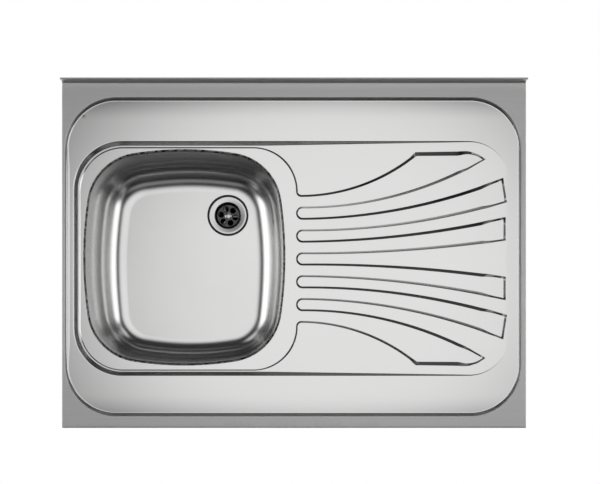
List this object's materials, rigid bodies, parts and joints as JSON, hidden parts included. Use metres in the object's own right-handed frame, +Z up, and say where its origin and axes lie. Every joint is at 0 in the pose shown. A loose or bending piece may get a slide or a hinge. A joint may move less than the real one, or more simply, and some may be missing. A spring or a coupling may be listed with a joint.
{
  "type": "kitchen sink",
  "caption": "Lay-on pressed steel kitchen sink: rear upstand, square bowl with corner waste on the left, fanned drainer on the right, timber frame and hold-down brackets below.",
  "frame": {"origin": "middle of the footprint, on the plane of the cabinet's top edges", "axes": "+X along the front to the right, towards the drainer; +Y from the front to the wall; +Z up"},
  "size_m": [0.8, 0.6, 0.241],
  "materials": {
    "stainless": "satin brushed",
    "polished_steel": "polished",
    "damping_pad": "matt bitumen felt",
    "timber": "raw planed softwood",
    "zinc_steel": "bright zinc plating",
    "seal_rubber": "matt",
    "waste_plastic": "white moulded",
    "brass": "turned"
  },
  "bodies": {
    "sink": {"deck_sheet": "stainless", "bowl": "stainless", "strainer_flange": "polished_steel", "earth_lug": "polished_steel", "bowl_pad": "damping_pad", "front_batten": "timber", "rear_batten": "timber", "left_batten": "timber", "right_batten": "timber", "cross_batten": "timber", "drainer_batten": "timber", "bracket_screws": "zinc_steel", "earth_screw": "zinc_steel", "earth_nut": "zinc_steel", "flange_seal": "seal_rubber", "body_seal": "seal_rubber", "waste_body": "waste_plastic", "brass_insert": "brass"},
    "front_left_bracket": {"front_left_bracket": "zinc_steel"},
    "front_right_bracket": {"front_right_bracket": "zinc_steel"},
    "rear_left_bracket": {"rear_left_bracket": "zinc_steel"},
    "rear_right_bracket": {"rear_right_bracket": "zinc_steel"},
    "strainer_screw": {"strainer_screw": "polished_steel"}
  },
  "joints": [
    {"name": "front_left_swivel", "type": "hinge", "parent": "sink", "child": "front_left_bracket", "pos_m": [-0.3697, -0.2689, 0.005], "axis": [0, 0, 1], "continuous": true},
    {"name": "front_right_swivel", "type": "hinge", "parent": "sink", "child": "front_right_bracket", "pos_m": [0.3697, -0.2689, 0.005], "axis": [0, 0, 1], "continuous": true},
    {"name": "rear_left_swivel", "type": "hinge", "parent": "sink", "child": "rear_left_bracket", "pos_m": [-0.3697, 0.2689, 0.005], "axis": [0, 0, 1], "continuous": true},
    {"name": "rear_right_swivel", "type": "hinge", "parent": "sink", "child": "rear_right_bracket", "pos_m": [0.3697, 0.2689, 0.005], "axis": [0, 0, 1], "continuous": true},
    {"name": "strainer_screw_turn", "type": "hinge", "parent": "sink", "child": "strainer_screw", "pos_m": [-0.1234, 0.0844, -0.14315], "axis": [0, 0, 1], "continuous": true}
  ]
}
